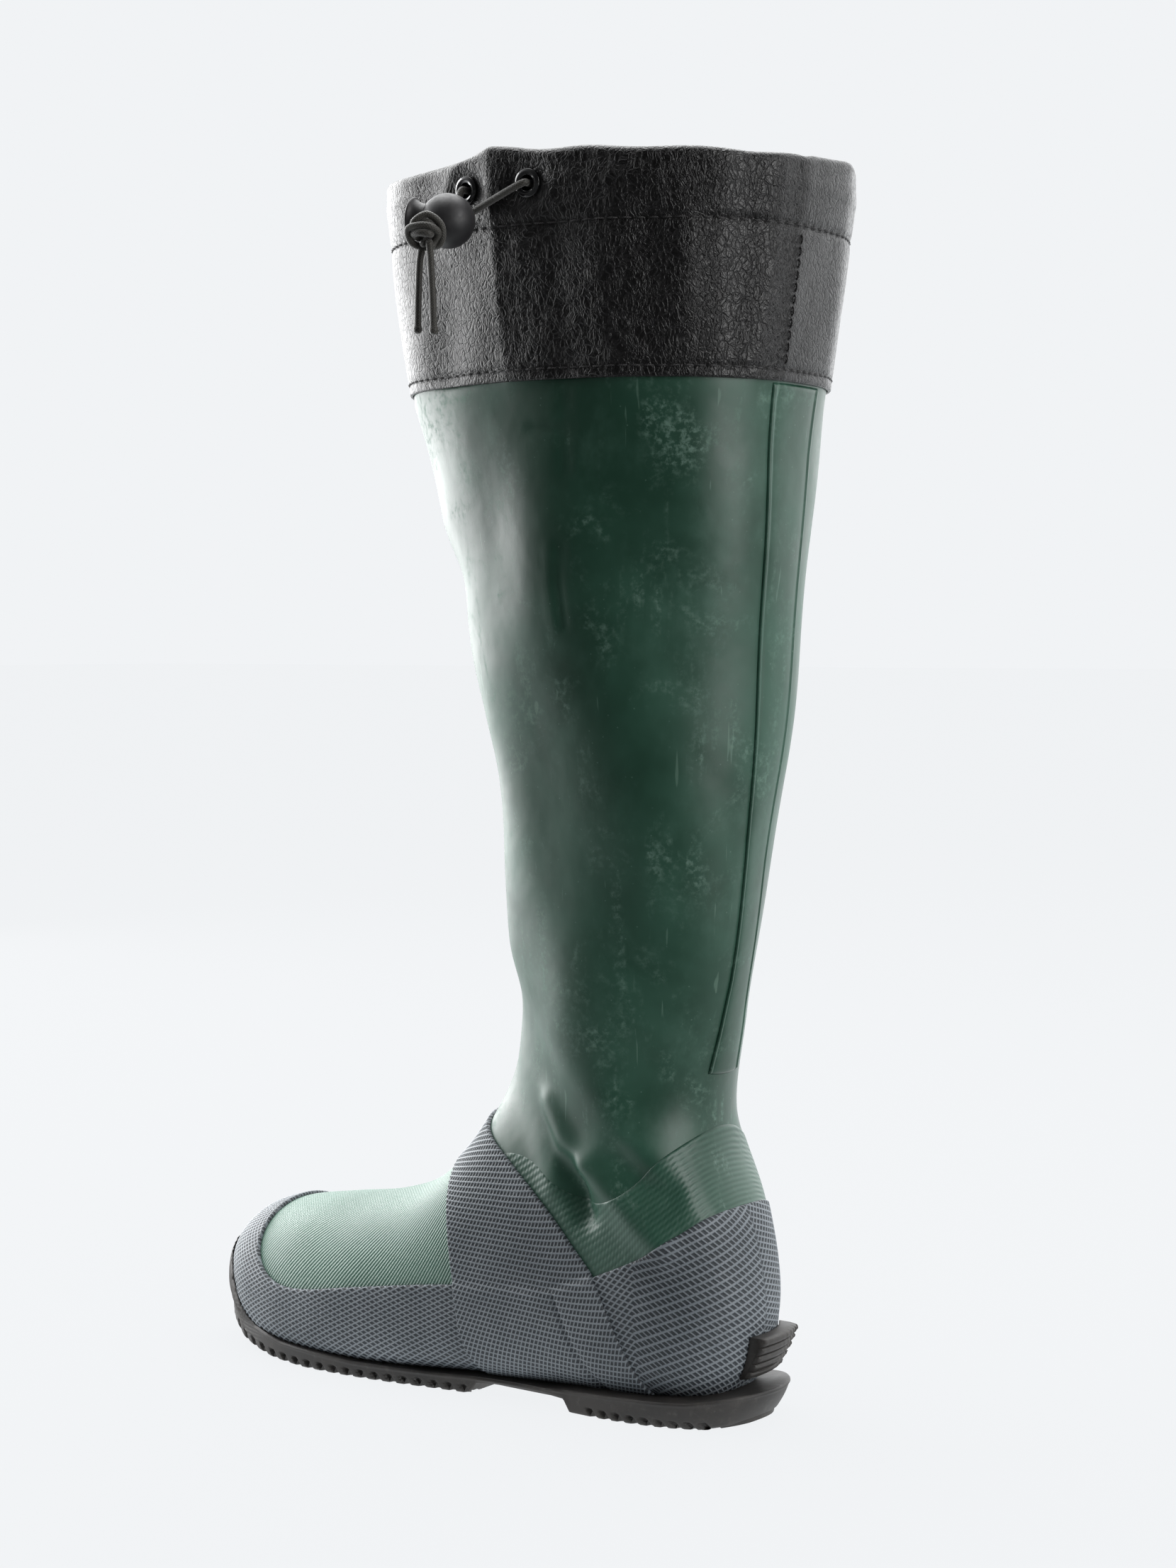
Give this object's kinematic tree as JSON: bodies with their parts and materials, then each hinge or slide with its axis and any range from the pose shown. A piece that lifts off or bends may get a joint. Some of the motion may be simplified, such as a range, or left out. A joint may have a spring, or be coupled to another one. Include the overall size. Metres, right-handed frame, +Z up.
{
  "type": "rubber rain boot",
  "caption": "Left knee-high soft rubber rain boot with ribbed rubber foot panels, lugged sole, heel kick strip and a leather-look cuff closed by a drawcord with a sprung cord lock.",
  "frame": {"origin": "middle of the heel's flat tread face, on the ground", "axes": "+Z up the leg, toe towards -Y, outer (lateral) side of the left foot towards +X"},
  "size_m": [0.1817, 0.2893, 0.464],
  "materials": {
    "green_rubber": "satin, smooth, with soft creases",
    "green_ribbed_rubber": "satin, finely ribbed",
    "grey_rubber": "matt, with a raised diamond mesh",
    "black_rubber": "matt, lugged and ribbed",
    "cuff_leather": "semi-matt, pebbled synthetic leather",
    "thread": "matt",
    "cord": "matt braid",
    "lock_plastic": "matt",
    "eyelet": "gloss black",
    "lining_fabric": "matt knit",
    "insole_fabric": "matt brushed fabric over foam",
    "insole_board": "matt fibre board",
    "spring_steel": "drawn wire"
  },
  "bodies": {
    "boot": {"ankle_panel": "green_ribbed_rubber", "back_stay": "green_rubber", "cord_lock_body": "lock_plastic", "cord_lock_spring": "spring_steel", "cuff": "cuff_leather", "cuff_seam_stitching": "thread", "drawcord_in_tunnel": "cord", "drawcord_lead_front": "cord", "drawcord_lead_rear": "cord", "eyelet_front": "eyelet", "eyelet_rear": "eyelet", "eyelet_washer_front": "eyelet", "eyelet_washer_rear": "eyelet", "foot_upper": "green_ribbed_rubber", "heel_counter": "grey_rubber", "heel_kick_strip": "black_rubber", "hem_stitching": "thread", "insole": "insole_fabric", "insole_board": "insole_board", "instep_band": "grey_rubber", "leg_shaft": "green_rubber", "lining": "lining_fabric", "outsole": "black_rubber", "toe_guard": "grey_rubber", "tunnel_stitching": "thread"},
    "cord_end": {"drawcord_knot": "cord", "drawcord_strand_front": "cord", "drawcord_strand_rear": "cord", "drawcord_tail_front": "cord", "drawcord_tail_rear": "cord"},
    "plunger": {"cord_lock_plunger": "lock_plastic"}
  },
  "joints": [
    {"name": "drawcord_pull", "type": "slide", "parent": "boot", "child": "cord_end", "axis": [0.9397, 0.2699, -0.2099], "range_m": [0, 0.018]},
    {"name": "cord_lock_press", "type": "slide", "parent": "boot", "child": "plunger", "axis": [-0.3037, 0.941, -0.1496], "range_m": [0, 0.003], "stiffness_N_per_m": 400, "springref_m": -0.002, "deforming": ["cord_lock_spring"]}
  ]
}
